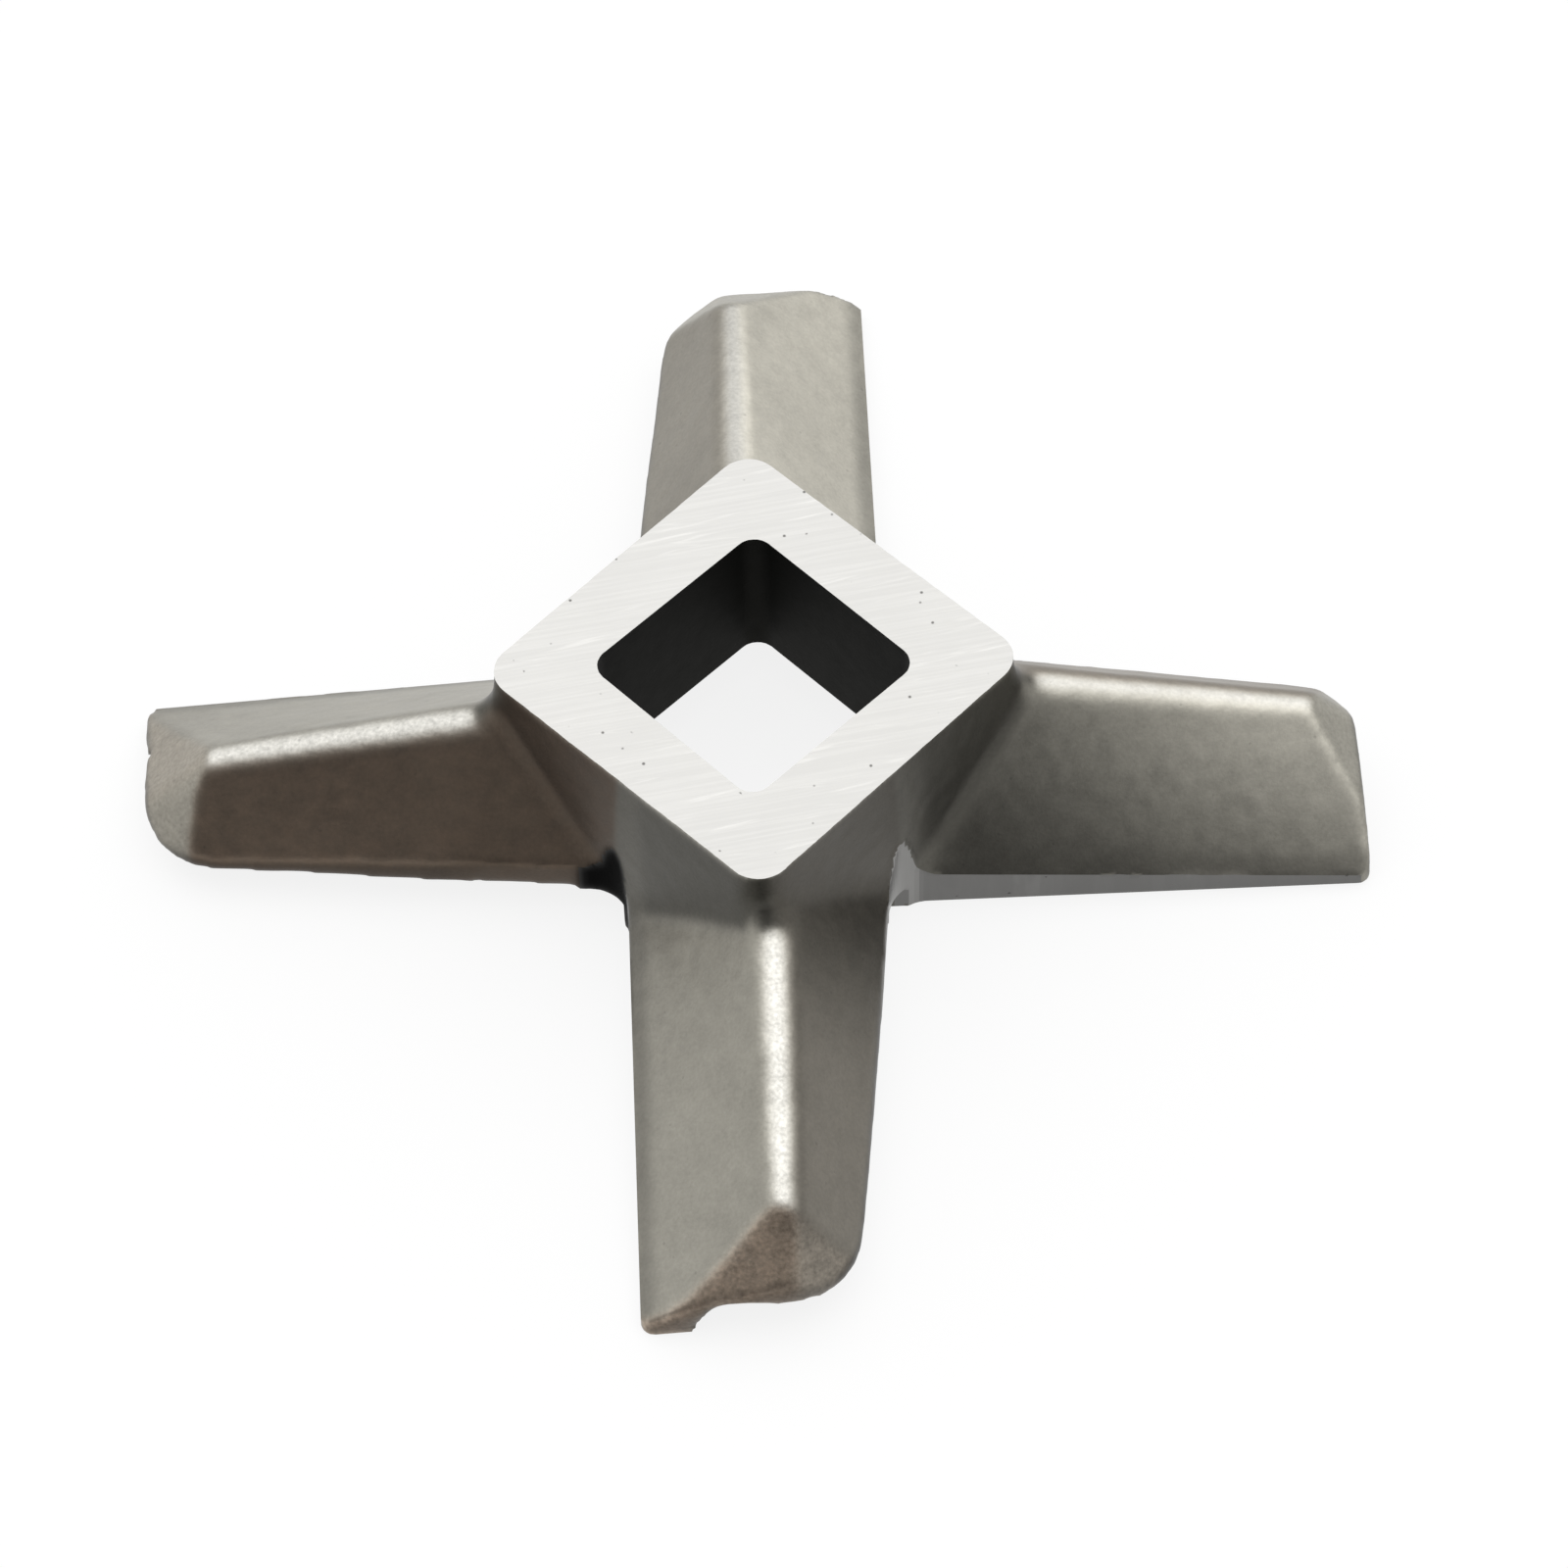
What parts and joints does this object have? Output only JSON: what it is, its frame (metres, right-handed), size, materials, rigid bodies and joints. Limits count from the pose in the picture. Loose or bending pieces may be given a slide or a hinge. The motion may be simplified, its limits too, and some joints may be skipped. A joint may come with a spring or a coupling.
{
  "type": "meat grinder knife",
  "caption": "Cast steel cutting knife for a meat grinder: square hub with a square drive socket and ridged blade arms with ground cutting edges.",
  "frame": {"origin": "centre of the square socket on the cutting plane, where the ground lands touch the hole plate", "axes": "+Z along the drive shaft, away from the hole plate; the arms lie along +X, +Y, -X and -Y, and the corners of the square hub and socket point the same way"},
  "size_m": [0.0754, 0.0768, 0.0141],
  "materials": {
    "cast_steel": "satin cast steel with ground faces"
  },
  "bodies": {
    "root": {"knife": "cast_steel"}
  },
  "joints": []
}
